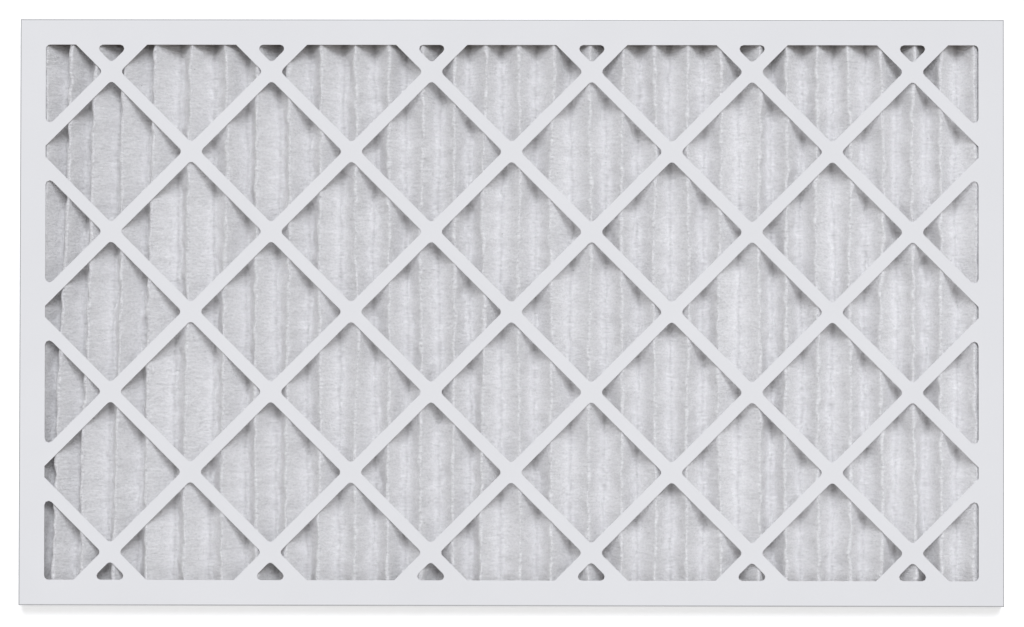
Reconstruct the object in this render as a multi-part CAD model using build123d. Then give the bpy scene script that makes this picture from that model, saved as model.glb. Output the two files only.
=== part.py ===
from build123d import *
import os
from math import atan2, ceil, cos, degrees, hypot, pi, sin, tan

# Pleated panel air filter for a ventilation duct, nominal 15 x 25 x 1 inch. All sizes are in millimetres.
#
# The filter lies on its air-leaving face, centred on the Z axis, with Z up through its depth.
# X runs across the pleats and Y along them. Two die-cut trays of moisture-proof board are nested
# face to face and glued: the front tray's flaps lie outside the rear tray's. Each face carries the
# same diagonal lattice. Between the faces stands the pleated nonwoven, bonded on its air-leaving side
# to a folded grid of expanded metal, and sealed to the frame all round with hot-melt glue.

TOLERANCE = 1e-6  # two points nearer than this are the same

# Frame
FRAME_WIDTH = 628.65  # X, 24 3/4 in, a nominal 25 in less the slot clearance
FRAME_HEIGHT = 374.65  # Y, 14 3/4 in, a nominal 15 in less the slot clearance
FRAME_DEPTH = 19.05  # Z, 3/4 in, a nominal 1 in
BOARD = 0.6  # thickness of the board
FOLD_RADIUS = 0.45  # outside of a creased fold
GLUE_FILM = 0.1  # between two glued layers of board
RAW_EDGE_SETBACK = 0.3  # the front flaps stop this far short of the rear face
TAB_LENGTH = 18.0  # glue tab round each corner of the front tray
RELIEF = 0.5  # between the cut edges of neighbouring flaps and tabs

# Lattice, the same on both faces
LIP = 16.3  # solid border round the lattice
STRAP = 7.9  # width of a diagonal strap
LATTICE_PITCH = 102.4  # between crossings, along X and along Y
LATTICE_RISE = 0.26  # the crossings sit this far towards +Y of the frame's middle
WINDOW_RADIUS = 2.7  # in the corners of a window
VENT_RADIUS = 2.5  # in the corners of the small vents beside the lip
REAR_CLIP = 1.2  # the rear die clips its corners with short flats
SMALLEST_WINDOW = 3.0  # half-width below which the die leaves the board whole
CORNER_CUT_COUNT = 3  # straight cuts that make up one rounded corner
EASING = 0.9  # share of a window's edge that its eased corners may take up

# Pleat pack
PLEAT_PITCH = 20.8  # aimed for; the count is rounded to fill the frame
MEDIA = 1.0  # thickness of the nonwoven
GRID = 0.5  # thickness of the expanded metal
BOND = 0.1  # adhesive between the nonwoven and the metal
GRID_FOLD = 0.2  # inside radius of the metal where it turns over a crest
TROUGH_ROUND = 2.6  # inside radius of the nonwoven in a trough
CREST_FLAT_COUNT = 4  # flats that turn the nonwoven over a crest
TROUGH_FLAT_COUNT = 4  # and through a trough
LATTICE_GAP = 0.2  # between a pleat tip and the lattice it is glued to
GRID_MARGIN = 2.4  # metal left at each fold of a flank
GRID_STRAND = 3.0  # metal left between two gaps along a flank
GRID_GAP_COUNT = 2  # gaps in each flank

# Hot-melt seals
SEAL = 1.2  # thickness of the glue at the ends and sides of the pack
SIDE_SEAL_HEIGHT = 6.0  # the side seals climb this far up the frame

# The rear tray nests in the front one.
REAR_WIDTH = FRAME_WIDTH - 2 * (BOARD + GLUE_FILM)
REAR_HEIGHT = FRAME_HEIGHT - 2 * (BOARD + GLUE_FILM)
CAVITY_WIDTH = REAR_WIDTH - 2 * BOARD
CAVITY_HEIGHT = REAR_HEIGHT - 2 * BOARD
CAVITY_FLOOR = BOARD
CAVITY_ROOF = FRAME_DEPTH - BOARD

# The pack stands between the seals.
PACK_WIDTH = CAVITY_WIDTH - 2 * SEAL
PACK_LENGTH = CAVITY_HEIGHT - 2 * SEAL
PLEATS = round(PACK_WIDTH / PLEAT_PITCH)
HALF_PITCH = PACK_WIDTH / PLEATS / 2

# The bond surface, where the nonwoven meets the adhesive, is a zigzag between these two levels.
CREST_Z = CAVITY_ROOF - LATTICE_GAP - MEDIA
TROUGH_Z = CAVITY_FLOOR + LATTICE_GAP + GRID + BOND
CREST_RADIUS = GRID_FOLD + GRID + BOND
TROUGH_RADIUS = TROUGH_ROUND + MEDIA


def flank_slope():
    """Angle from the X axis of a flank that is tangent to the round of its crest and of its trough."""
    rise = CREST_Z - TROUGH_Z - CREST_RADIUS - TROUGH_RADIUS
    radii = CREST_RADIUS + TROUGH_RADIUS
    flank = (HALF_PITCH**2 + rise**2 - radii**2) ** 0.5
    return atan2(rise, HALF_PITCH) + atan2(radii, flank)


SLOPE = flank_slope()


def half_flats(offset):
    """Half widths of the crest's and the trough's flat, at an offset from the bond surface."""
    crest = (CREST_RADIUS + offset) * tan(SLOPE / 2)
    trough = (TROUGH_RADIUS - offset) * tan(SLOPE / 2)
    return crest, trough


def crest_x(pleat):
    """X of one pleat's crest, counted from the left."""
    return (2 * pleat + 1) * HALF_PITCH - PACK_WIDTH / 2


def folded_corners(offset):
    """Corners of the zigzag with flat folds, from left to right, at an offset from the bond surface."""
    crest, trough = half_flats(offset)
    high, low = CREST_Z + offset, TROUGH_Z + offset
    points = [(-PACK_WIDTH / 2, low)]
    for pleat in range(PLEATS):
        x = crest_x(pleat)
        points += [
            (x - HALF_PITCH + trough, low),
            (x - crest, high),
            (x + crest, high),
            (x + HALF_PITCH - trough, low),
        ]
    points.append((PACK_WIDTH / 2, low))
    return points


def turn(centre, radius, start, end, flats):
    """Points of an arc drawn in flats. Its angles run from start to end, clockwise from straight up."""
    angles = [start + (end - start) * step / flats for step in range(flats + 1)]
    return [(centre[0] + radius * sin(angle), centre[1] + radius * cos(angle)) for angle in angles]


def rounded_corners():
    """Corners of the nonwoven's air-entering side, whose folds are rounded, from left to right."""
    crest_round = CREST_RADIUS + MEDIA
    crest_centre = CREST_Z - CREST_RADIUS
    trough_centre = TROUGH_Z + TROUGH_RADIUS
    half = TROUGH_FLAT_COUNT // 2
    points = []
    for pleat in range(PLEATS):
        x = crest_x(pleat)
        left, right = (x - HALF_PITCH, trough_centre), (x + HALF_PITCH, trough_centre)
        points += turn(left, TROUGH_ROUND, pi, pi - SLOPE, half)
        points += turn((x, crest_centre), crest_round, -SLOPE, SLOPE, CREST_FLAT_COUNT)
        points += turn(right, TROUGH_ROUND, pi + SLOPE, pi, half)[:-1]
    points.append((PACK_WIDTH / 2, TROUGH_Z + MEDIA))
    return points


def along_pack(points):
    """Solid with this closed outline in the XZ plane, as long as the pleats."""
    outline = Wire(Polyline(*points, close=True).edges())
    return extrude(Plane.XZ * Face(outline), PACK_LENGTH / 2, both=True)


def pleated_media():
    """Nonwoven folded into PLEATS pleats: rounded where the air enters, creased against the metal."""
    return along_pack([*rounded_corners(), *reversed(folded_corners(0))])


def grid_gaps():
    """Cutters for the expanded metal: a row of long diamonds in the plane of each flank."""
    crest, trough = half_flats(-BOND - GRID / 2)
    run, rise = HALF_PITCH - crest - trough, CREST_Z - TROUGH_Z
    share = PACK_LENGTH / GRID_GAP_COUNT
    length, width = share - GRID_STRAND, hypot(run, rise) - 2 * GRID_MARGIN
    corners = [(-length / 2, 0), (0, -width / 2), (length / 2, 0), (0, width / 2)]
    gap = extrude(Polygon(*corners), GRID, both=True)
    middle = (CREST_Z + TROUGH_Z) / 2 - BOND - GRID / 2
    gaps = []
    for pleat in range(PLEATS):
        for side in (-1, 1):
            flank = Plane(
                origin=(crest_x(pleat) + side * (crest + run / 2), 0, middle),
                x_dir=(0, 1, 0),
                z_dir=(side * sin(SLOPE), 0, cos(SLOPE)),
            )
            places = [(row + 0.5) * share - PACK_LENGTH / 2 for row in range(GRID_GAP_COUNT)]
            gaps += [flank * Pos(place, 0, 0) * gap for place in places]
    return gaps


def expanded_metal():
    """Folded grid that keeps the pleats open, bonded to the nonwoven where the air leaves."""
    top, bottom = folded_corners(-BOND), folded_corners(-BOND - GRID)
    return along_pack([*top, *reversed(bottom)]).cut(*grid_gaps())


def half_width(window):
    """Radius of the largest circle that fits a triangle, and near it for the other windows."""
    return 2 * window.area / window.outer_wire().length


def lattice_windows(rise):
    """Faces of the windows between the diagonal straps, with sharp corners."""
    field = Rectangle(FRAME_WIDTH - 2 * LIP, FRAME_HEIGHT - 2 * LIP)
    reach = hypot(FRAME_WIDTH, FRAME_HEIGHT)
    count = ceil((FRAME_WIDTH + FRAME_HEIGHT) / 2 / LATTICE_PITCH)
    straps = [
        Pos((number + 0.5) * LATTICE_PITCH, rise + LATTICE_PITCH / 2, 0)
        * Rot(0, 0, slant)
        * Rectangle(reach, STRAP)
        for slant in (45, -45)
        for number in range(-count - 1, count + 1)
    ]
    windows = (field - straps).faces()
    return [window for window in windows if half_width(window) > SMALLEST_WINDOW]


def cut_corners(window):
    """Corners of a window that the die eases, the square and the sharp ones, and the largest round they take."""
    corners, rounds = [], []
    for corner in window.vertices():
        place = corner.center()
        beside = [edge for edge in window.edges() if edge.distance_to(corner) < TOLERANCE]
        arms = [2 * (edge.center() - place) for edge in beside]
        if arms[0].dot(arms[1]) > -TOLERANCE:
            shorter = min(arm.length for arm in arms)
            corners.append(corner)
            rounds.append(shorter / 2 * tan(arms[0].get_angle(arms[1]) * pi / 360))
    return corners, min(rounds)


def in_flats(window):
    """Window with each arc of its outline drawn in a few straight cuts."""
    points = []
    for edge in window.outer_wire().order_edges():
        cuts = CORNER_CUT_COUNT if edge.geom_type == GeomType.CIRCLE else 1
        points += [edge @ (cut / cuts) for cut in range(cuts)]
    return Face(Wire(Polyline(*points, close=True).edges()))


def rounded_window(window):
    """Window of the front face, with its square and sharp corners rounded."""
    is_vent = window.area < (LATTICE_PITCH / 4) ** 2
    corners, largest = cut_corners(window)
    radius = min(VENT_RADIUS if is_vent else WINDOW_RADIUS, EASING * largest)
    return in_flats(window.fillet_2d(radius, corners))


def clipped_window(window):
    """Window of the rear face, with its square and sharp corners clipped."""
    corners, largest = cut_corners(window)
    size = min(REAR_CLIP, EASING * largest)
    return window.chamfer_2d(size, size, corners)


def slab(x, y, z):
    """Straight-sided plate between two limits on each axis."""
    centre = [(low + high) / 2 for low, high in (x, y, z)]
    return Pos(*centre) * Box(x[1] - x[0], y[1] - y[0], z[1] - z[0])


def both_ends(piece, plane):
    """A piece and its mirror image."""
    return [piece, mirror(piece, plane)]


def long_flaps(length, height, flap):
    """Flaps folded up along the +Y and -Y edges of a tray whose face lies on z = 0."""
    piece = slab((-length / 2, length / 2), (height / 2 - BOARD, height / 2), (0, flap))
    return both_ends(piece, Plane.XZ)


def short_flaps(width, length, flap):
    """Flaps folded up along the +X and -X edges."""
    piece = slab((width / 2 - BOARD, width / 2), (-length / 2, length / 2), (0, flap))
    return both_ends(piece, Plane.YZ)


def corner_tabs(width, length, low, high):
    """Glue tabs at both ends of the short flaps, folded in behind the long flaps."""
    tab = slab((width / 2 - TAB_LENGTH, width / 2), (length / 2 - BOARD, length / 2), (low, high))
    return [piece for end in both_ends(tab, Plane.XZ) for piece in both_ends(end, Plane.YZ)]


def at(coordinate, half):
    """Whether a coordinate lies on either of two limits, mirrored through zero."""
    return abs(abs(coordinate) - half) < TOLERANCE


def face_folds(tray, width, height):
    """Outside edges of the folds round a tray's face."""
    on_face = [edge for edge in tray.edges() if at(edge.center().Z, 0)]
    return [edge for edge in on_face if at(edge.center().X, width / 2) or at(edge.center().Y, height / 2)]


def tab_folds(tray, width, length):
    """Outside edges of the upright folds between the short flaps and their tabs."""
    upright = tray.edges().filter_by(Axis.Z)
    return [edge for edge in upright if at(edge.center().X, width / 2) and at(edge.center().Y, length / 2)]


def front_frame():
    """Outer tray: face up, flaps down outside the rear tray's, a glue tab round each corner."""
    flap = FRAME_DEPTH - RAW_EDGE_SETBACK
    tray = Rectangle(FRAME_WIDTH, FRAME_HEIGHT)
    tray = extrude(tray, BOARD).fuse(
        *long_flaps(FRAME_WIDTH, FRAME_HEIGHT, flap),
        *short_flaps(FRAME_WIDTH, REAR_HEIGHT, flap),
        *corner_tabs(FRAME_WIDTH, REAR_HEIGHT, BOARD + RELIEF, FRAME_DEPTH - BOARD - RELIEF),
    )
    tray = fillet(face_folds(tray, FRAME_WIDTH, FRAME_HEIGHT), FOLD_RADIUS)
    tray = fillet(tab_folds(tray, FRAME_WIDTH, REAR_HEIGHT), FOLD_RADIUS)
    windows = [rounded_window(window) for window in lattice_windows(-LATTICE_RISE)]
    tray = tray.cut(*[extrude(window, BOARD, both=True) for window in windows])
    return Pos(0, 0, FRAME_DEPTH) * Rot(180, 0, 0) * tray


def rear_frame():
    """Inner tray: face down, flaps up inside the front tray's, cut short to clear its tabs."""
    flap = FRAME_DEPTH - BOARD - GLUE_FILM
    tray = Rectangle(REAR_WIDTH, REAR_HEIGHT)
    tray = extrude(tray, BOARD).fuse(
        *long_flaps(FRAME_WIDTH - 2 * (TAB_LENGTH + RELIEF), REAR_HEIGHT, flap),
        *short_flaps(REAR_WIDTH, REAR_HEIGHT - 2 * (BOARD + RELIEF), flap),
    )
    tray = fillet(face_folds(tray, REAR_WIDTH, REAR_HEIGHT), FOLD_RADIUS)
    windows = [clipped_window(window) for window in lattice_windows(LATTICE_RISE)]
    return tray.cut(*[extrude(window, BOARD, both=True) for window in windows])


def end_seals():
    """Glue across the open ends of the pleats, against the long flaps: the +Y and the -Y one."""
    half = CAVITY_WIDTH / 2
    seal = slab((-half, half), (PACK_LENGTH / 2, CAVITY_HEIGHT / 2), (CAVITY_FLOOR, CAVITY_ROOF))
    return both_ends(seal, Plane.XZ)


def side_seals():
    """Glue in the corners beside the first and the last trough: the +X and the -X bead."""
    wall, pack = CAVITY_WIDTH / 2, PACK_WIDTH / 2
    shoulder = CAVITY_FLOOR + SIDE_SEAL_HEIGHT - SEAL
    profile = Wire(
        [
            Line((wall, CAVITY_FLOOR), (pack, CAVITY_FLOOR)),
            Line((pack, CAVITY_FLOOR), (pack, shoulder)),
            RadiusArc((pack, shoulder), (wall, shoulder + SEAL), SEAL),
            Line((wall, shoulder + SEAL), (wall, CAVITY_FLOOR)),
        ]
    )
    bead = extrude(Plane.XZ * Face(profile), PACK_LENGTH / 2, both=True)
    return both_ends(bead, Plane.YZ)


def main():
    """Builds every piece and writes one STEP file for each."""
    os.makedirs("parts", exist_ok=True)
    end_seal_top, end_seal_bottom = end_seals()
    side_seal_right, side_seal_left = side_seals()
    pieces = {
        "front_frame": front_frame(),
        "rear_frame": rear_frame(),
        "pleated_media": pleated_media(),
        "expanded_metal_backing": expanded_metal(),
        "end_seal_top": end_seal_top,
        "end_seal_bottom": end_seal_bottom,
        "side_seal_left": side_seal_left,
        "side_seal_right": side_seal_right,
    }
    for name, piece in pieces.items():
        export_step(piece, f"parts/{name}.step")
    print(f"{PLEATS} pleats, pitch {2 * HALF_PITCH:.2f} mm, flanks at {degrees(SLOPE):.1f} degrees")


if __name__ == "__main__":
    main()
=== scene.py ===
import bmesh
import bpy
import numpy as np
from bpy.props import FloatProperty, FloatVectorProperty, IntProperty, PointerProperty
from mathutils import Matrix, Vector


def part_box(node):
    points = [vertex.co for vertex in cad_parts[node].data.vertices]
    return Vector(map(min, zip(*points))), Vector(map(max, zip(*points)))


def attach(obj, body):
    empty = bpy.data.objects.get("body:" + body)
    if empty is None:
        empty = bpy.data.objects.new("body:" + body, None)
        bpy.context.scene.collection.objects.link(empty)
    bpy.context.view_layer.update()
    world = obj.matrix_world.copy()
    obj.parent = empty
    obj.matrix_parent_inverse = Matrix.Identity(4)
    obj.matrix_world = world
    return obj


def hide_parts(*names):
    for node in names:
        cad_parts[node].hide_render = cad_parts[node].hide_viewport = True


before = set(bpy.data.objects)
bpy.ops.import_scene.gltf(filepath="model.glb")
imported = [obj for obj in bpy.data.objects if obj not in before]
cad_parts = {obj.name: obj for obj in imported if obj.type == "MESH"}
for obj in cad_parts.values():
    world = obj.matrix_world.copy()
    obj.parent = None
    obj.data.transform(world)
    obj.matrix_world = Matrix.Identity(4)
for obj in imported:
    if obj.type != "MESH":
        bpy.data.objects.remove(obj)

bl_info = {
    "name": "Pleated panel air filter",
    "version": (1, 0, 0),
    "blender": (4, 5, 0),
    "location": "View3D > Sidebar > Air filter",
    "description": "Pleated media, expanded metal, board trays and glue of a panel air filter",
    "category": "Add Mesh",
}

BODY = "root"
MM = 0.001

# Lowest and highest corners of the two folded sheets, which the pieces that stand for them stay inside.
MEDIA_LOW, MEDIA_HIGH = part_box("pleated_media")
METAL_LOW, METAL_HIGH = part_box("expanded_metal_backing")


# ---------------------------------------------------------------- settings


class MediaSettings(bpy.types.PropertyGroup):
    """Folding and finish of the nonwoven."""

    pleats: IntProperty(name="Pleats", description="Ridges across the pack", default=30, min=2)
    thickness: FloatProperty(
        name="Thickness", description="Thickness of the nonwoven", default=1.0 * MM, unit="LENGTH"
    )
    crest_radius: FloatProperty(
        name="Crest radius", description="Round over a crest, on the middle of the sheet",
        default=1.3 * MM, unit="LENGTH",
    )
    trough_radius: FloatProperty(
        name="Trough radius", description="Round through a trough, on the middle of the sheet",
        default=2.8 * MM, unit="LENGTH",
    )
    stray: FloatProperty(
        name="Stray", description="How far a hand-set fold strays from its even place",
        default=0.8 * MM, unit="LENGTH",
    )
    crinkle: FloatProperty(
        name="Crinkle", description="Height of the crinkles along a fold", default=0.45 * MM, unit="LENGTH"
    )
    pillow: FloatProperty(
        name="Pillow", description="How far the nonwoven swells through a diamond of the metal",
        default=0.45 * MM, unit="LENGTH",
    )
    tip: FloatProperty(
        name="Tip", description="How far the first troughs sit off the middle between their ridges",
        default=4.5 * MM, unit="LENGTH",
    )
    lean: FloatProperty(
        name="Lean", description="How far the first ridges lean over their length",
        default=12.0 * MM, unit="LENGTH",
    )
    colour: FloatVectorProperty(
        name="Colour", description="Colour of the nonwoven", default=(0.797, 0.790, 0.796), subtype="COLOR"
    )
    # Painted shade: the dark brown laid over both ends of the pleats.
    end_shade: FloatVectorProperty(
        name="End_shade", description="Colour of the nonwoven where glue has soaked in",
        default=(0.23, 0.175, 0.13), subtype="COLOR",
    )


class MetalSettings(bpy.types.PropertyGroup):
    """Expanded metal behind the nonwoven."""

    long_way: FloatProperty(
        name="Long way", description="Diamond's length along the pleats", default=23.65 * MM, unit="LENGTH"
    )
    short_way: FloatProperty(
        name="Short way", description="Diamond's width across the folds", default=12.7 * MM, unit="LENGTH"
    )
    strand: FloatProperty(
        name="Strand", description="Width of a strand", default=1.1 * MM, unit="LENGTH"
    )
    gauge: FloatProperty(name="Gauge", description="Thickness of the metal", default=0.45 * MM, unit="LENGTH")
    colour: FloatVectorProperty(
        name="Colour", description="Colour of the zinc coat", default=(0.60, 0.61, 0.62), subtype="COLOR"
    )


class BoardSettings(bpy.types.PropertyGroup):
    """Moisture-proof board of both trays."""

    edge_round: FloatProperty(
        name="Edge round", description="Softening of a die-cut edge", default=0.12 * MM, unit="LENGTH"
    )
    colour: FloatVectorProperty(
        name="Colour", description="Colour of the coated face", default=(0.792, 0.787, 0.792), subtype="COLOR"
    )
    core: FloatVectorProperty(
        name="Core", description="Colour of the cut edge", default=(0.52, 0.43, 0.35), subtype="COLOR"
    )
    back: FloatVectorProperty(
        name="Back", description="Colour of the uncoated inner face",
        default=(0.40, 0.26, 0.15), subtype="COLOR",
    )


class GlueSettings(bpy.types.PropertyGroup):
    """Hot-melt glue round the pack."""

    # An amber glue colour, made darker as painted shade under the frame's lip.
    colour: FloatVectorProperty(
        name="Colour", description="Colour of the set glue", default=(0.46, 0.39, 0.30), subtype="COLOR"
    )


class StageSettings(bpy.types.PropertyGroup):
    """Floor, lights and camera."""

    camera: FloatVectorProperty(
        name="Camera", description="Where the camera stands", default=(0.0297, -0.0736, 3.2), subtype="XYZ"
    )
    aim: FloatVectorProperty(
        name="Aim", description="Point in the middle of the view",
        default=(0.0004, -0.0007, 0.01905), subtype="XYZ",
    )
    roll: FloatProperty(name="Roll", description="Turn about the view axis", default=0.0016, subtype="ANGLE")
    lens: FloatProperty(name="Lens", description="Focal length in millimetres", default=175.2)
    key: FloatProperty(name="Key", description="Level of the softbox on a face turned to it", default=0.62)
    key_from: FloatVectorProperty(
        name="Key from", description="Where the softbox stands, seen from the filter",
        default=(0.12, 0.94, 2.2), subtype="XYZ",
    )
    key_spread: FloatProperty(
        name="Key spread", description="How wide the softbox looks from the filter",
        default=0.42, subtype="ANGLE",
    )
    key_colour: FloatVectorProperty(
        name="Key colour", description="Colour of the softbox", default=(0.97, 0.997, 1.056), subtype="COLOR"
    )
    fill: FloatProperty(name="Fill", description="Level of the surrounding light", default=0.40)
    fill_colour: FloatVectorProperty(
        name="Fill colour", description="Colour of the surrounding light",
        default=(1.0, 0.992, 0.99), subtype="COLOR",
    )
    backdrop: FloatProperty(
        name="Backdrop", description="Extra brightness of the floor as the camera sees it", default=0.50
    )


# ---------------------------------------------------------------- finishes


class Signal:
    """A socket that takes part in arithmetic. Each operator adds one Math node."""

    def __init__(self, nodes, socket):
        self.nodes = nodes
        self.socket = socket

    def _math(self, operation, *values):
        return self.nodes.node("ShaderNodeMath", {"operation": operation}, dict(enumerate(values)))

    def __add__(self, other):
        return self._math("ADD", self, other)

    def __radd__(self, other):
        return self._math("ADD", other, self)

    def __sub__(self, other):
        return self._math("SUBTRACT", self, other)

    def __rsub__(self, other):
        return self._math("SUBTRACT", other, self)

    def __mul__(self, other):
        return self._math("MULTIPLY", self, other)

    def __rmul__(self, other):
        return self._math("MULTIPLY", other, self)

    def absolute(self):
        """The value without its sign."""
        return self._math("ABSOLUTE", self)

    def above(self, low, high):
        """0 below low, 1 above high, and a straight ramp between them."""
        ramp = {"From Min": low, "From Max": high, "Value": self}
        return self.nodes.node("ShaderNodeMapRange", {"clamp": True}, ramp)


class Nodes:
    """A node tree under construction."""

    def __init__(self, tree):
        self.tree = tree

    def node(self, kind, settings=None, sockets=None, output=0):
        """A node of this type: its settings come first, then the values or links of its sockets."""
        made = self.tree.nodes.new(kind)
        for name, value in (settings or {}).items():
            setattr(made, name, value)
        for name, value in (sockets or {}).items():
            self.plug(made.inputs[name], value)
        return Signal(self, made.outputs[output])

    def plug(self, socket, value):
        """Links a signal to a socket, or sets a value on it."""
        if isinstance(value, Signal):
            self.tree.links.new(value.socket, socket)
        elif socket.type == "RGBA" and len(value) == 3:
            socket.default_value = (*value, 1.0)
        else:
            socket.default_value = value

    def rays(self, *kinds):
        """For each kind of ray, 1 where the surface is met by such a ray and 0 elsewhere."""
        return [self.node("ShaderNodeLightPath", output=f"Is {kind} Ray") for kind in kinds]


class Finish(Nodes):
    """A material under construction, with one Principled shader."""

    def __init__(self, name, constants):
        self.material = bpy.data.materials.new(name)
        self.material.use_nodes = True
        super().__init__(self.material.node_tree)
        self.shader = next(node for node in self.tree.nodes if node.type == "BSDF_PRINCIPLED")
        for socket, value in constants.items():
            self.plug(self.shader.inputs[socket], value)

    def place(self):
        """Where a point of the surface is, in metres."""
        return self.node("ShaderNodeTexCoord", output="Object")

    def noise(self, place, size, detail=3.0, roughness=0.5, stretch=(1, 1, 1)):
        """Soft noise from 0 to 1, whose patches are about this size in metres."""
        scale = [share / size for share in stretch]
        scaled = self.node("ShaderNodeMapping", {"vector_type": "POINT"}, {"Vector": place, "Scale": scale})
        sockets = {"Vector": scaled, "Scale": 1.0, "Detail": detail, "Roughness": roughness}
        return self.node("ShaderNodeTexNoise", sockets=sockets, output="Fac")

    def blend(self, factor, first, second):
        """A colour between two others."""
        sockets = {0: factor, 6: first, 7: second}
        return self.node("ShaderNodeMix", {"data_type": "RGBA"}, sockets, output=2)

    def shade(self, colour, tone):
        """A colour made darker or lighter by a factor."""
        grey = self.node("ShaderNodeCombineXYZ", sockets={0: tone, 1: tone, 2: tone})
        return self.node("ShaderNodeVectorMath", {"operation": "MULTIPLY"}, {0: colour, 1: grey})

    def bump(self, height, distance, strength):
        """A normal bent by a height map, whose full height is distance metres."""
        sockets = {"Strength": strength, "Distance": distance, "Height": height}
        return self.node("ShaderNodeBump", sockets=sockets)

    def done(self, colour, normal, **links):
        """The finished material, with what varies over the surface linked to its shader."""
        for socket, value in {"Base Color": colour, "Normal": normal, **links}.items():
            self.plug(self.shader.inputs[socket], value)
        return self.material


END_SHADE_START, END_SHADE_FULL = 12.8 * MM, 7.0 * MM  # distance from an end where the painted shade starts, and is full
END_SHADE_SHIFT = 1.4 * MM  # both painted-shade ends sit this far towards -Y
END_SHADE_RAGGED = 4.0 * MM  # how unevenly the painted shade reaches in


def nonwoven(colour, end_shade, end):
    """Needled white fibre, on the sheet's own flat map in metres.

    Its tone is the sum of soft clouds, streaks across the pleats and fine fibres, and painted light and shade
    make it brighten slowly from the first pleat to the last. Crests and troughs carry painted shade, lighter
    at the knots in the crests and at the clouds in the troughs. Pale creases lie where a winding noise passes
    its middle, dark flecks dot its higher parts, and painted shade darkens both ends except at the crests.
    """
    finish = Finish("nonwoven", {
        "Roughness": 0.95, "Specular IOR Level": 0.1, "Sheen Weight": 0.1, "Sheen Roughness": 0.6,
        "Subsurface Weight": 0.7, "Subsurface Radius": (1.0, 1.0, 1.0), "Subsurface Scale": 0.0012,
    })
    sheet = finish.node("ShaderNodeUVMap", {"uv_map": "sheet"})
    across, along = (
        finish.node("ShaderNodeSeparateXYZ", sockets={"Vector": sheet}, output=axis) for axis in "XY"
    )
    fold = finish.node("ShaderNodeAttribute", {"attribute_name": "fold"}, output="Fac")
    crest, trough = fold.above(0.0, 1.0), (-1 * fold).above(0.0, 1.0)
    clouds = finish.noise(sheet, 0.009, detail=4.0, roughness=0.6)
    streaks = finish.noise(sheet, 0.0021, detail=2.0, roughness=0.6, stretch=(0.25, 1.2, 1))
    fibres = finish.noise(sheet, 0.0013, detail=2.0, roughness=0.6, stretch=(0.5, 1.0, 1))
    knots = finish.noise(sheet, 0.0019, detail=2.0, roughness=0.7)
    winding = finish.noise(sheet, 0.0045, detail=3.0, roughness=0.6, stretch=(0.8, 1.2, 1))
    creases = (1 - (winding - 0.5).absolute().above(0.0, 0.03)) * clouds.above(0.45, 0.65)
    flecks = finish.noise(sheet, 0.0012, detail=1.0).above(0.66, 0.76) * winding.above(0.52, 0.62)
    tone = 0.528 + 0.18 * clouds + 0.40 * streaks + 0.48 * fibres
    # Painted shade on the crests and in the troughs, broken up by knots and clouds.
    tone = tone * (1 - crest * (0.68 - 0.90 * knots - 0.20 * clouds)) * (1 - trough * (0.40 - 0.35 * clouds))
    # The last factor is painted light and shade: darker at the first pleat and lighter at the last.
    tone = (tone + 0.07 * creases) * (1 - 0.35 * flecks) * (0.955 + 0.077 * across)
    # Painted shade near both ends of the pleats, more at the +Y end and not on the crests.
    reach = (along + END_SHADE_SHIFT).absolute() + END_SHADE_RAGGED * clouds
    end_shade_mask = reach.above(end - END_SHADE_START, end - END_SHADE_FULL) * (1 - crest)
    shade = finish.shade(finish.blend(end_shade_mask, colour, end_shade), tone)
    relief = streaks * 0.5 + fibres * 0.5 + crest * knots * 0.8 + creases * 0.4
    return finish.done(shade, finish.bump(relief, 0.0012, 0.7))


def zinc(colour):
    """Galvanised steel: soft spangle, dull, with fine drawing marks."""
    finish = Finish("zinc_coated_steel", {"Metallic": 0.9})
    place = finish.place()
    spangle = finish.noise(place, 0.004, detail=2.0)
    grain = finish.noise(place, 0.0005, detail=2.0)
    shade = finish.shade(colour, 0.85 + 0.3 * spangle)
    return finish.done(shade, finish.bump(grain, 0.0001, 0.4), Roughness=0.36 + 0.22 * spangle)


FOLD_SHADE_FULL = 0.4 * MM  # distance from the tray's box within which the painted shade along a scored fold is darkest
FOLD_SHADE_PLAN, FOLD_SHADE_DEPTH = 0.8 * MM, 0.9 * MM  # and by which it has faded, in plan and in depth


def coated_board(colour, low, high):
    """White coated board: faint clouds and a fine fibre grain, with painted shade along its outer scored
    folds.
    """
    finish = Finish("coated_board", {"Specular IOR Level": 0.3})
    place = finish.place()
    clouds = finish.noise(place, 0.07, detail=4.0, roughness=0.6)
    grain = finish.noise(place, 0.0012, detail=4.0, roughness=0.7)
    x, y, z = (finish.node("ShaderNodeSeparateXYZ", sockets={"Vector": place}, output=axis) for axis in "XYZ")
    middle, half = (low + high) / 2, (high - low) / 2
    edge = 0
    for axis, at, reach in ((x, middle.x, half.x), (y, middle.y, half.y)):
        edge = edge + (axis - at).absolute().above(reach - FOLD_SHADE_PLAN, reach - FOLD_SHADE_FULL)
    level = (z - middle.z).absolute().above(half.z - FOLD_SHADE_DEPTH, half.z - FOLD_SHADE_FULL)
    # Painted shade along the folds round the tray's top and bottom faces.
    fold_shade = (edge * level).above(0.0, 1.0)
    shade = finish.shade(colour, (0.945 + 0.07 * clouds + 0.04 * grain) * (1 - 0.5 * fold_shade))
    return finish.done(shade, finish.bump(grain, 0.00012, 0.35), Roughness=0.52 + 0.2 * clouds)


def cut_board(colour):
    """Raw die-cut edge of the board: pale fibre in thin layers."""
    finish = Finish("cut_board", {"Roughness": 0.9, "Specular IOR Level": 0.1})
    place = finish.place()
    layers = finish.noise(place, 0.0002, detail=2.0, stretch=(0.2, 0.2, 1.5))
    fibre = finish.noise(place, 0.0008, detail=3.0)
    shade = finish.shade(colour, 0.92 + 0.08 * layers + 0.05 * fibre)
    return finish.done(shade, finish.bump(layers, 0.0001, 0.5))


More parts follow.
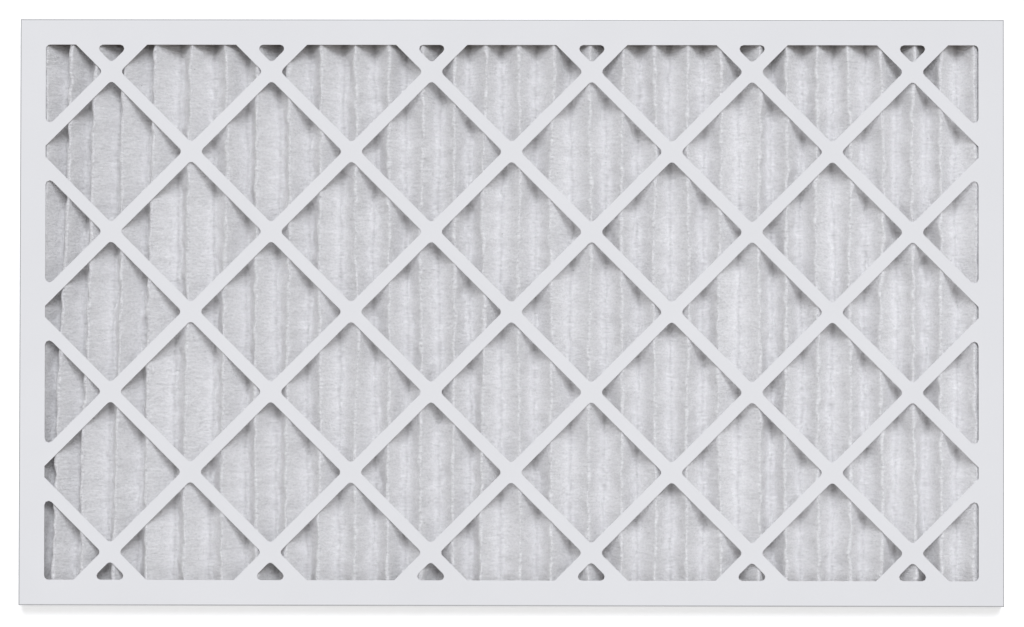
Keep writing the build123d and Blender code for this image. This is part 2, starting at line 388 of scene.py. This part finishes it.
def kraft_back(colour):
    """Uncoated inner face of the board: brown kraft fibre with darker flecks."""
    finish = Finish("kraft_back", {"Roughness": 0.9, "Specular IOR Level": 0.1})
    place = finish.place()
    clouds = finish.noise(place, 0.02, detail=4.0, roughness=0.6)
    flecks = finish.noise(place, 0.0011, detail=3.0, roughness=0.7, stretch=(0.5, 1.0, 1.0))
    shade = finish.shade(colour, 0.78 + 0.2 * clouds + 0.24 * flecks)
    return finish.done(shade, finish.bump(flecks, 0.0002, 0.5))


def hot_melt(colour):
    """Set hot-melt glue: milky, slightly glossy, with soft swellings."""
    finish = Finish("hot_melt_glue", {"Subsurface Weight": 0.2, "Subsurface Radius": (0.002, 0.0018, 0.0014)})
    place = finish.place()
    swelling = finish.noise(place, 0.008, detail=3.0)
    strings = finish.noise(place, 0.0015, detail=2.0)
    relief = finish.bump(swelling * 0.8 + strings * 0.2, 0.0008, 0.6)
    return finish.done(finish.shade(colour, 0.92 + 0.12 * swelling), relief, Roughness=0.28 + 0.2 * strings)


# ---------------------------------------------------------------- folded pack


SINES, SINES_SUM = 6, 2.5  # sines in a random line, and the height that counts as 1
CELLS = 256  # cells of a random field each way, before it repeats
CELLS_START = (11.3, 117.7)  # cells between the field's corner and the origin of the sheet's flat map


def waves(along, count, shortest, longest, seed):
    """Smooth random lines, one row for each fold: sines of random phase and length, summed to about 1."""
    dice = np.random.default_rng(seed)
    lengths = np.exp(dice.uniform(np.log(shortest), np.log(longest), (count, SINES, 1)))
    phases = dice.uniform(0, 2 * np.pi, (count, SINES, 1))
    return np.sin(2 * np.pi * along / lengths + phases).sum(axis=1) / SINES_SUM


def ripples(across, along, cell, seed):
    """Smooth random field from -1 to 1: random values on a grid of cells, eased between by 3t^2 - 2t^3."""
    dice = np.random.default_rng(seed)
    table = dice.uniform(-1, 1, (CELLS + 1, CELLS + 1))
    a, b = across / cell[0] + CELLS_START[0], along / cell[1] + CELLS_START[1]
    i, j = np.floor(a).astype(int), np.floor(b).astype(int)
    p, q = a - i, b - j
    p, q = p * p * (3 - 2 * p), q * q * (3 - 2 * q)
    i, j = i % CELLS, j % CELLS
    low = table[i, j] * (1 - p) + table[i + 1, j] * p
    high = table[i, j + 1] * (1 - p) + table[i + 1, j + 1] * p
    return low * (1 - q) + high * q


ROWS = 128  # steps along the pleats

# What makes the folds uneven: shortest and longest wave in metres, and seed.
SLOW_DRIFT = (0.12, 0.6, 5)  # folds wander over the height of the pack
FINE_DRIFT = (0.01, 0.045, 6)  # and waver
CRINKLE = (0.004, 0.03, 7)  # crests dip and troughs rise
SWELL = (0.01, 0.08, 8)  # rounds widen and narrow

FINE_SHARE = 0.5  # height of the fine drift, as a share of the slow one's
CRINKLE_MOST = 2.2  # deepest crinkle, in heights
SWELL_SHARE, SWELL_LEAST, SWELL_MOST = 0.3, 0.6, 1.6  # change of a round, and its limits

# Unevenness of the flanks: height in millimetres, cell across and along the pleats in metres, and seed.
ROUGH = ((0.25, (0.006, 0.009), 21), (0.14, (0.003, 0.004), 22))
ROUGH_BOUND, ROUGH_FREE = 0.3, 0.9  # share of it over a strand, and what the middle of a diamond adds
RIM_STEPS = 6  # steps over which pillows and unevenness come in from the first and the last trough
CREST_FLANK, CREST_ROUND = 0.3, 0.7  # how much of a crest's finish the flank brings, and the round

# The pack was spread by hand: (ridge counted from the left, its shift in mm from the even place).
SPREAD = (
    (0, 1.6), (1, -6.1), (2, -10.2), (3, -11.0), (4, -12.6), (5, -9.7), (6, -6.8), (9, -7.8), (10, -5.8),
    (13, -5.4), (14, -7.5), (15, -5.4), (16, -5.4), (17, -2.1), (21, -2.0), (22, 2.2), (23, -1.4),
    (25, -2.0), (27, -3.0), (28, -6.4), (29, -5.5), (30, 0),
)
LEAN_REACH = 1.6  # pleats over which the lean at the left rises and dies away
TIP_MIDDLE, TIP_REACH = 3.0, 6.0  # pleat whose troughs sit furthest off, and pleats over which that fades


def fold_lines(media, along):
    """X, level and round of every fold at each place along the pleats, troughs even and crests odd.

    A fold's X is its even place, plus the spread between hand-set shifts, plus a bell-shaped shift of the
    troughs near the left, plus a lean that dies away from the left as t exp(-t) does, plus slow and fine
    random waves. The first and the last trough are held. Levels dip and rounds swell by random waves of
    their own.
    """
    count = 2 * media.pleats + 1
    number = np.arange(count) / 2 - 0.5
    width = MEDIA_HIGH.x - MEDIA_LOW.x
    even = MEDIA_LOW.x + (number + 0.5) * width / media.pleats
    ridge, shift = np.array(SPREAD).T
    spread = np.interp(number, ridge, shift) * MM
    is_trough = np.arange(count) % 2 == 0
    spread = spread + is_trough * media.tip * np.exp(-(((number - TIP_MIDDLE) / TIP_REACH) ** 2))
    reach = (number + 0.5) / LEAN_REACH
    lean = media.lean * reach * np.exp(1 - reach)
    share = along / (MEDIA_HIGH.y - MEDIA_LOW.y)
    held = np.clip(np.minimum(number + 0.5, media.pleats - number - 0.5) * 2, 0, 1)[:, None]
    drift = media.stray * waves(along, count, *SLOW_DRIFT)
    drift = drift + FINE_SHARE * media.stray * waves(along, count, *FINE_DRIFT)
    x = even[:, None] + held * (spread[:, None] + lean[:, None] * share + drift)
    depth = media.crinkle * np.clip(0.5 + 0.5 * waves(along, count, *CRINKLE), 0, CRINKLE_MOST)
    swell = np.clip(1 + SWELL_SHARE * waves(along, count, *SWELL), SWELL_LEAST, SWELL_MOST)
    rounds = np.where(is_trough, media.trough_radius, media.crest_radius)[:, None] * swell
    return x, depth, rounds


def folded(media, x, depth, rounds, steps):
    """Middle surface, normal and developed length of the folded sheet.

    Between a trough and a crest the sheet is an arc, a straight flank tangent to both and another arc. With
    half pitch h, rise r between the arcs' centres and s the sum of the radii, the flank slopes at
    atan(r / h) + atan(s / sqrt(h^2 + r^2 - s^2)). steps gives the shares of each part on the way up. The
    normal turns with the sheet, and the developed length is the distance along it from the first trough.
    """
    bend, run, crown = (np.array(part)[:, None] for part in steps)
    flanks, steps_each = len(x) - 1, len(bend) - 1
    half = media.thickness / 2
    number = np.append(np.repeat(np.arange(flanks), steps_each), flanks - 1)
    step = np.append(np.tile(np.arange(steps_each), flanks), steps_each)
    up = number % 2 == 0
    step = np.where(up, step, steps_each - step)
    trough, crest = np.where(up, number, number + 1), np.where(up, number + 1, number)
    low = MEDIA_LOW.z + half + depth[trough]
    high = MEDIA_HIGH.z - half - depth[crest]
    side = np.where(up, 1.0, -1.0)[:, None]
    wide = np.abs(x[crest] - x[trough])
    r_low, r_high = rounds[trough], rounds[crest]
    rise = high - r_high - low - r_low
    both = r_low + r_high
    slope = np.arctan2(rise, wide) + np.arctan2(both, np.sqrt(wide**2 + rise**2 - both**2))
    turn_low, turn_high = bend[step] * slope, (1 - crown[step]) * slope
    low_x, low_z = r_low * np.sin(turn_low), low + r_low * (1 - np.cos(turn_low))
    high_x, high_z = wide - r_high * np.sin(turn_high), high - r_high * (1 - np.cos(turn_high))
    share = run[step]
    px = x[trough] + side * (low_x * (1 - share) + high_x * share)
    pz = low_z * (1 - share) + high_z * share
    tilt = np.minimum(turn_low, turn_high)
    normal_x, normal_z = -side * np.sin(tilt), np.cos(tilt)
    length = np.hypot(np.diff(px, axis=0), np.diff(pz, axis=0)).mean(axis=1)
    return px, pz, normal_x, normal_z, np.concatenate([[0], np.cumsum(length)])


def strand_layout(metal, width):
    """How many strands lie across the developed sheet, and how far in the first one starts."""
    count = int(width // (metal.short_way / 2)) - 1
    return count, (width - count * metal.short_way / 2) / 2


def pillow(metal, across, along, width):
    """0 over a strand and 1 in the middle of a diamond: cos^2 of the place along each of its two slants."""
    margin = strand_layout(metal, width)[1]
    a, b = (across - margin) / metal.short_way, along / metal.long_way
    return np.cos(np.pi * (a + b)) ** 2 * np.cos(np.pi * (a - b)) ** 2


# Steps from a trough up to a crest: shares of the trough's round, of the flank and of the crest's round.
STEPS = (
    (0, 0.25, 0.5, 0.75, 1, 1, 1, 1, 1, 1, 1),
    (0, 0, 0, 0, 0, 0.33, 0.67, 1, 1, 1, 1),
    (0, 0, 0, 0, 0, 0, 0, 0, 0.36, 0.68, 1),
)


def grid_faces(rows, columns, start=0):
    """Quads of a grid of points stored row by row. From the side they face, columns run right and rows up."""
    first = start + np.arange(rows - 1)[:, None] * columns + np.arange(columns - 1)
    return np.stack([first, first + 1, first + columns + 1, first + columns], axis=-1).reshape(-1, 4)


def make_mesh(name, points, groups, uv=None):
    """A mesh object at the origin from points and arrays of faces, with an optional UV map in metres."""
    mesh = bpy.data.meshes.new(name)
    mesh.vertices.add(len(points))
    mesh.vertices.foreach_set("co", np.ascontiguousarray(points, np.float32).ravel())
    loops = np.concatenate([group.ravel() for group in groups]).astype(np.int32)
    sizes = np.concatenate([np.full(len(group), group.shape[1]) for group in groups])
    mesh.loops.add(len(loops))
    mesh.loops.foreach_set("vertex_index", loops)
    mesh.polygons.add(len(sizes))
    mesh.polygons.foreach_set("loop_start", (np.cumsum(sizes) - sizes).astype(np.int32))
    mesh.update(calc_edges=True)
    if uv is not None:
        layer = mesh.uv_layers.new(name="sheet")
        layer.data.foreach_set("uv", np.ascontiguousarray(uv[loops], np.float32).ravel())
    mesh.validate()
    obj = bpy.data.objects.new(name, mesh)
    bpy.context.scene.collection.objects.link(obj)
    return obj


def border(rows, columns, start=0):
    """Numbers of the points round the edge of a grid stored row by row, in the turn of its faces."""
    return start + np.concatenate([
        np.arange(columns - 1),
        np.arange(rows - 1) * columns + columns - 1,
        (rows - 1) * columns + np.arange(columns - 1, 0, -1),
        np.arange(rows - 1, 0, -1) * columns,
    ])


def make_media(settings):
    """The nonwoven: one closed sheet, its faces half a thickness to each side of the folded middle surface.

    The middle surface sinks by the pillow's height over a strand and not at all in the middle of a diamond,
    and is uneven by two random fields. The attribute fold is -1 at a trough, 0 at a flank's foot and 1 at a
    crest.
    """
    media = settings.filter_media
    along = np.linspace(MEDIA_LOW.y, MEDIA_HIGH.y, ROWS + 1)
    px, pz, nx, nz, developed = folded(media, *fold_lines(media, along), STEPS)
    cloth_u, cloth_v = developed[:, None] + 0 * px, along[None, :] + 0 * px
    free = pillow(settings.filter_metal, cloth_u, cloth_v, developed[-1])
    rough = sum(height * ripples(cloth_u, cloth_v, cell, seed) for height, cell, seed in ROUGH)
    lump = media.pillow * (free - 1) + (ROUGH_BOUND + ROUGH_FREE * free) * rough * MM
    step = np.arange(len(px))
    lump = lump * np.clip(np.minimum(step, step[::-1])[:, None] / RIM_STEPS, 0, 1)
    px, pz = px + nx * lump, pz + nz * lump
    half = media.thickness / 2
    bend, run, crown = (np.array(part) for part in STEPS)
    up = CREST_FLANK * run**3 + CREST_ROUND * crown - (1 - bend)
    fold = np.append(np.tile(np.append(up[:-1], up[:0:-1]), media.pleats), up[0])[:, None] + 0 * px
    points, marks, grids, start = [], [], [], 0
    for side, every in ((1, 1), (-1, 2)):
        sx = np.clip(px + side * half * nx, MEDIA_LOW.x, MEDIA_HIGH.x)
        sz = np.clip(pz + side * half * nz, MEDIA_LOW.z, MEDIA_HIGH.z)
        layers = np.stack([sx, cloth_v, sz, cloth_u, cloth_v, fold], axis=-1)
        layers = layers[::every, ::every].transpose(1, 0, 2)
        points.append(layers[..., :3].reshape(-1, 3))
        marks.append(layers[..., 3:].reshape(-1, 3))
        grids.append((*layers.shape[:2], start))
        start += layers.shape[0] * layers.shape[1]
    upper, lower = border(*grids[0]), border(*grids[1])
    next_upper = np.roll(upper, -2)[::2]
    rim = np.stack([lower, np.roll(lower, -1), next_upper, upper[1::2], upper[::2]], axis=-1)
    marks = np.concatenate(marks)
    obj = make_mesh(
        "pleated_nonwoven", np.concatenate(points),
        [grid_faces(*grids[0]), grid_faces(*grids[1])[:, ::-1], rim], marks[:, :2],
    )
    obj.data.polygons.foreach_set("use_smooth", np.ones(len(obj.data.polygons), bool))
    attribute = obj.data.attributes.new("fold", "FLOAT", "POINT")
    attribute.data.foreach_set("value", np.ascontiguousarray(marks[:, 2], np.float32))
    obj.data.materials.append(nonwoven(media.colour, media.end_shade, MEDIA_HIGH.y))
    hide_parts("pleated_media")
    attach(obj, BODY)
    return obj


METAL_GAP = 0.08 * MM  # between the nonwoven and the metal
METAL_SUNK = 0.6  # how much lower the metal lies for the pillows, as a share of their height
SWING_HEIGHT = 2.6  # height of the triangle wave from low to high, of which 2 is left after clipping
BOND_REACH = 0.42  # distance of a strand's middle from the middle of its bond, in widths of a strand


def make_metal(settings):
    """Expanded metal: strands along the pleats that swing to and fro, each touching the next at its bonds.

    Strand i lies at developed length margin + (i + 1/2) short_way / 2, plus or minus a triangle wave of the
    diamond's length that is clipped at its bonds, and is carried onto the underside of the folded sheet.
    """
    media, metal = settings.filter_media, settings.filter_metal
    along = np.linspace(MEDIA_LOW.y, MEDIA_HIGH.y, ROWS + 1)
    px, pz, nx, nz, developed = folded(media, *fold_lines(media, along), STEPS)
    drop = media.thickness / 2 + METAL_GAP + metal.gauge / 2 + METAL_SUNK * media.pillow
    count, margin = strand_layout(metal, developed[-1])
    phase = along / metal.long_way
    swing = np.clip(SWING_HEIGHT * (np.abs(2 * (phase - np.floor(phase)) - 1) - 0.5), -1, 1)
    swing = swing * (metal.short_way / 4 - metal.strand * BOND_REACH)
    strand = np.arange(count)
    turn = np.where(strand % 2 == 0, 1.0, -1.0)[:, None]
    centre = margin + (strand + 0.5)[:, None] * metal.short_way / 2 + turn * swing
    places = len(along)
    points = []
    for across, through in ((-1, -1), (1, -1), (1, 1), (-1, 1)):
        s = np.clip(centre + across * metal.strand / 2, developed[0], developed[-1])
        cell = np.clip(np.searchsorted(developed, s) - 1, 0, len(developed) - 2)
        share = (s - developed[cell]) / (developed[cell + 1] - developed[cell])
        here, there = (cell, np.arange(places)), (cell + 1, np.arange(places))
        sx, sz, mx, mz = (value[here] * (1 - share) + value[there] * share for value in (px, pz, nx, nz))
        size = np.hypot(mx, mz)
        shift = through * metal.gauge / 2 - drop
        sx, sz = sx + mx / size * shift, sz + mz / size * shift
        sx = np.clip(sx, METAL_LOW.x, METAL_HIGH.x)
        sz = np.clip(sz, METAL_LOW.z, METAL_HIGH.z)
        points.append(np.stack([sx, along[None, :] + 0 * s, sz], axis=-1))
    ring = np.stack(points, axis=2)
    base = (strand[:, None, None] * places + np.arange(places - 1)[None, :, None]) * 4
    corner = np.arange(4)
    after = (corner + 1) % 4
    sides = np.stack([base + corner, base + 4 + corner, base + 4 + after, base + after], axis=-1)
    sides = sides.reshape(-1, 4)
    first = strand[:, None] * places * 4 + corner
    last = first[:, ::-1] + (places - 1) * 4
    obj = make_mesh("expanded_metal", ring.reshape(-1, 3), [sides, first, last])
    obj.data.materials.append(zinc(metal.colour))
    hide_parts("expanded_metal_backing")
    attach(obj, BODY)
    return obj


# ---------------------------------------------------------------- board and glue


MERGE = 0.001 * MM  # points closer than this are one, and an edge whose ends differ less in height is level
FLAT_ANGLE = 0.01  # faces that meet at less than this are joined
UPRIGHT = 0.5  # a face is a wall where the vertical part of its normal is less than this
WINDOW_INSET = 5.0 * MM  # a window's walls lie further than this inside the tray's box
WINDOW_WALL = 1e-4  # and each is smaller than this, in square metres
COATED, CUT, INNER = range(3)  # the board's three finishes


def make_tray(node, settings):
    """A tray: the frame's own form with doubles merged, flats joined and die-cut edges softened."""
    board = settings.filter_board
    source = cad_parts[node]
    mesh = source.data.copy()
    mesh.name = node + "_board"
    work = bmesh.new()
    work.from_mesh(mesh)
    bmesh.ops.remove_doubles(work, verts=work.verts, dist=MERGE)
    bmesh.ops.dissolve_limit(work, angle_limit=FLAT_ANGLE, verts=work.verts, edges=work.edges)
    low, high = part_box(node)
    middle = (low + high) / 2
    weight = work.edges.layers.float.new("bevel_weight_edge")
    for face in work.faces:
        place = face.calc_center_median()
        upright = abs(face.normal.z) < UPRIGHT
        inside = all(
            low[axis] + WINDOW_INSET < place[axis] < high[axis] - WINDOW_INSET for axis in range(2)
        )
        cut = upright and inside and face.calc_area() < WINDOW_WALL
        inward = face.normal.dot(middle - place) > 0
        face.material_index = CUT if cut else INNER if inward else COATED
        for edge in face.edges:
            if cut and abs(edge.verts[0].co.z - edge.verts[1].co.z) < MERGE:
                edge[weight] = 1.0
    work.to_mesh(mesh)
    work.free()
    mesh.materials.clear()
    mesh.materials.append(coated_board(board.colour, low, high))
    mesh.materials.append(cut_board(board.core))
    mesh.materials.append(kraft_back(board.back))
    obj = bpy.data.objects.new(node + "_board", mesh)
    bpy.context.scene.collection.objects.link(obj)
    bevel = obj.modifiers.new("die_cut_edge", "BEVEL")
    bevel.width = board.edge_round
    bevel.segments = 2
    bevel.limit_method = "WEIGHT"
    bevel.loop_slide = False
    bevel.use_clamp_overlap = False
    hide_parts(node)
    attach(obj, BODY)
    return obj


# ---------------------------------------------------------------- stage


FLOOR_REACH = 8.0  # from the middle of the floor to its edges
FLOOR_DROP = 0.2 * MM  # how far the floor lies below the filter
SENSOR = 36.0  # width of the camera's sensor in millimetres
CLIP = (0.05, 60.0)  # nearest and furthest that the camera sees


def floor_finish(backdrop):
    """White paper sweep: lit as it is, and brighter by a plain amount to the camera and in reflections."""
    finish = Finish(
        "paper_sweep", {"Roughness": 0.9, "Specular IOR Level": 0.0, "Base Color": (0.8, 0.8, 0.8)}
    )
    camera, glossy, through = finish.rays("Camera", "Glossy", "Transmission")
    seen = (camera + glossy + through).above(0.0, 1.0)
    glow = finish.node("ShaderNodeEmission", sockets={"Strength": seen * backdrop})
    lit = Signal(finish, finish.shader.outputs[0])
    both = finish.node("ShaderNodeAddShader", sockets={0: lit, 1: glow})
    out = next(node for node in finish.tree.nodes if node.type == "OUTPUT_MATERIAL")
    finish.plug(out.inputs["Surface"], both)
    return finish.material


def make_world(fill, colour):
    """Plain surrounding light: this level on the filter, and 1 where the camera looks past the floor."""
    world = bpy.data.worlds.new("surroundings")
    world.use_nodes = True
    nodes = Nodes(world.node_tree)
    background = next(node for node in nodes.tree.nodes if node.type == "BACKGROUND")
    camera, through = nodes.rays("Camera", "Transmission")
    seen = nodes.node("ShaderNodeMath", {"operation": "MAXIMUM"}, {0: camera, 1: through})
    level = nodes.node("ShaderNodeMapRange", sockets={"Value": seen, "To Min": fill, "To Max": 1.0})
    nodes.plug(background.inputs["Strength"], level)
    nodes.plug(background.inputs["Color"], colour)
    bpy.context.scene.world = world


def make_stage(settings):
    """Floor, surrounding light, softbox and camera."""
    stage = settings.filter_stage
    square = FLOOR_REACH * np.array([(-1, -1, 0), (1, -1, 0), (1, 1, 0), (-1, 1, 0)])
    floor = make_mesh("floor", square - (0, 0, FLOOR_DROP), [np.array([[0, 1, 2, 3]])])
    floor.data.materials.append(floor_finish(stage.backdrop))
    make_world(stage.fill, stage.fill_colour)

    lamp = bpy.data.lights.new("softbox", "SUN")
    lamp.energy = stage.key * np.pi
    lamp.angle = stage.key_spread
    lamp.color = stage.key_colour
    softbox = bpy.data.objects.new("softbox", lamp)
    softbox.location = stage.key_from
    softbox.rotation_euler = Vector(stage.key_from).to_track_quat("Z", "Y").to_euler()
    bpy.context.scene.collection.objects.link(softbox)

    camera = bpy.data.cameras.new("camera")
    camera.lens = stage.lens
    camera.sensor_width = SENSOR
    camera.sensor_fit = "HORIZONTAL"
    camera.clip_start, camera.clip_end = CLIP
    viewer = bpy.data.objects.new("camera", camera)
    place, aim = Vector(stage.camera), Vector(stage.aim)
    look = (aim - place).normalized()
    right = look.cross(Vector((0, 1, 0))).normalized()
    upward = right.cross(look)
    turned = right * np.cos(stage.roll) + upward * np.sin(stage.roll)
    upward = turned.cross(look)
    viewer.matrix_world = Matrix.Translation(place) @ Matrix((turned, upward, -look)).transposed().to_4x4()
    bpy.context.scene.collection.objects.link(viewer)
    bpy.context.scene.camera = viewer
    bpy.context.scene.view_settings.view_transform = "Standard"


# ---------------------------------------------------------------- operators


class FILTER_OT_media(bpy.types.Operator):
    """Fold the nonwoven into its pleats"""

    bl_idname = "filter.media"
    bl_label = "Pleated nonwoven"

    def execute(self, context):
        make_media(context.scene)
        return {"FINISHED"}


class FILTER_OT_metal(bpy.types.Operator):
    """Lay the expanded metal behind the nonwoven"""

    bl_idname = "filter.metal"
    bl_label = "Expanded metal"

    def execute(self, context):
        make_metal(context.scene)
        return {"FINISHED"}


class FILTER_OT_trays(bpy.types.Operator):
    """Make the front and the rear tray of board"""

    bl_idname = "filter.trays"
    bl_label = "Board trays"

    def execute(self, context):
        for node in ("front_frame", "rear_frame"):
            make_tray(node, context.scene)
        return {"FINISHED"}


class FILTER_OT_glue(bpy.types.Operator):
    """Give the seals their glue finish"""

    bl_idname = "filter.glue"
    bl_label = "Glue seals"

    def execute(self, context):
        glue = hot_melt(context.scene.filter_glue.colour)
        for node in ("end_seal_top", "end_seal_bottom", "side_seal_left", "side_seal_right"):
            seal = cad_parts[node]
            seal.data.materials.clear()
            seal.data.materials.append(glue)
        return {"FINISHED"}


class FILTER_OT_stage(bpy.types.Operator):
    """Set the floor, the lights and the camera"""

    bl_idname = "filter.stage"
    bl_label = "Floor, lights and camera"

    def execute(self, context):
        make_stage(context.scene)
        return {"FINISHED"}


class FILTER_PT_panel(bpy.types.Panel):
    """Pieces of the air filter"""

    bl_idname = "FILTER_PT_panel"
    bl_label = "Air filter"
    bl_space_type = "VIEW_3D"
    bl_region_type = "UI"
    bl_category = "Air filter"

    def draw(self, context):
        for operator in OPERATORS:
            self.layout.operator(operator.bl_idname)


SETTINGS = {
    "filter_media": MediaSettings,
    "filter_metal": MetalSettings,
    "filter_board": BoardSettings,
    "filter_glue": GlueSettings,
    "filter_stage": StageSettings,
}
OPERATORS = (FILTER_OT_stage, FILTER_OT_media, FILTER_OT_metal, FILTER_OT_trays, FILTER_OT_glue)


def register():
    """Adds the settings, the operators and the panel to Blender."""
    for made in (*SETTINGS.values(), *OPERATORS, FILTER_PT_panel):
        bpy.utils.register_class(made)
    for name, group in SETTINGS.items():
        setattr(bpy.types.Scene, name, PointerProperty(type=group))


def unregister():
    """Takes them away again, in the other order."""
    for name in SETTINGS:
        delattr(bpy.types.Scene, name)
    for made in reversed((*SETTINGS.values(), *OPERATORS, FILTER_PT_panel)):
        bpy.utils.unregister_class(made)


def main():
    """Makes every piece in order."""
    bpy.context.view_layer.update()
    register()
    for operator in OPERATORS:
        group, name = operator.bl_idname.split(".")
        getattr(getattr(bpy.ops, group), name)()


if __name__ == "__main__":
    main()
